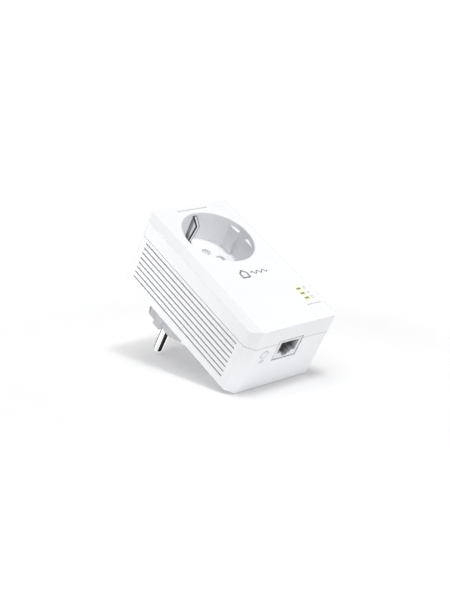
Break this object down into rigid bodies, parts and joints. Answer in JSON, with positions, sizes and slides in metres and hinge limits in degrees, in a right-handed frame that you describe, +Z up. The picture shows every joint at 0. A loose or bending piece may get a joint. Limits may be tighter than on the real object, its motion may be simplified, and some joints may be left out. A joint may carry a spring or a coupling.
{
  "type": "powerline adapter",
  "caption": "Wall-plug network adapter with a pass-through earthed socket in front, a network jack and a pair button below, side vents and signal lights.",
  "frame": {"origin": "on the plug axis, in the plane of the rear face that rests against the wall socket", "axes": "+Z up, +X to the right seen from the front, front face towards -Y, plug pins towards +Y"},
  "size_m": [0.0582, 0.0772, 0.0937],
  "materials": {
    "white_shell": "fine satin moulded",
    "plug_plastic": "satin moulded",
    "nickel_pin": "polished nickel plate",
    "spring_steel": "rolled spring strip",
    "brass_inner": "stamped",
    "grey_insulator": "moulded",
    "shutter_plastic": "moulded",
    "zinc_screw": "zinc plated",
    "board_green": "solder mask",
    "black_insulator": "moulded",
    "port_plastic": "satin moulded",
    "gold_contact": "gold flash",
    "button_plastic": "satin moulded",
    "clear_window": "frosted clear moulding",
    "diode_lens": "clear epoxy",
    "chip_black": "epoxy package",
    "heat_sink": "extruded",
    "can_metal": "drawn can",
    "ferrite": "sintered ferrite",
    "capacitor_sleeve": "shrink sleeve",
    "capacitor_case": "potted case",
    "fuse_body": "ceramic tube",
    "varistor_coat": "dipped coat",
    "wire_insulation": "flexible insulation",
    "label_film": "matt film, blank"
  },
  "bodies": {
    "case": {"board_link": "black_insulator", "bridge_rectifier": "chip_black", "bulk_capacitors": "capacitor_sleeve", "busbar_live": "brass_inner", "busbar_neutral": "brass_inner", "case_screws": "zinc_screw", "contact_carrier": "grey_insulator", "coupling_transformer": "ferrite", "crystal": "can_metal", "earth_rivet": "brass_inner", "earth_sleeve": "brass_inner", "ethernet_magnetics": "chip_black", "front_cover": "white_shell", "fuse": "fuse_body", "heat_sink": "heat_sink", "indicator_diodes": "diode_lens", "jack_body": "port_plastic", "jack_contacts": "gold_contact", "jack_shield": "spring_steel", "light_pipe": "clear_window", "main_board": "board_green", "mains_choke": "ferrite", "mains_wires": "wire_insulation", "memory_chip": "chip_black", "modem_chip": "chip_black", "pair_switch_body": "black_insulator", "plug_base": "plug_plastic", "plug_earth_strap": "spring_steel", "plug_pin_live": "nickel_pin", "plug_pin_neutral": "nickel_pin", "power_board": "board_green", "power_transformer": "ferrite", "rating_label": "label_film", "rear_housing": "white_shell", "shutter_spring": "spring_steel", "socket_contact_live": "brass_inner", "socket_contact_neutral": "brass_inner", "socket_earth_clips": "spring_steel", "socket_screws": "zinc_screw", "varistor": "varistor_coat", "x_capacitor": "capacitor_case"},
    "shutter": {"shutter": "shutter_plastic"},
    "pair_button": {"pair_button": "button_plastic", "pair_switch_plunger": "button_plastic"}
  },
  "joints": [
    {"name": "shutter_slide", "type": "slide", "parent": "case", "child": "shutter", "axis": [0, 0, 1], "range_m": [0, 0.0059], "stiffness_N_per_m": 80, "springref_m": -0.003, "deforming": ["shutter_spring"]},
    {"name": "pair_button_press", "type": "slide", "parent": "case", "child": "pair_button", "axis": [0, 0, 1], "range_m": [0, 0.0005], "stiffness_N_per_m": 1200, "springref_m": -0.0004}
  ]
}
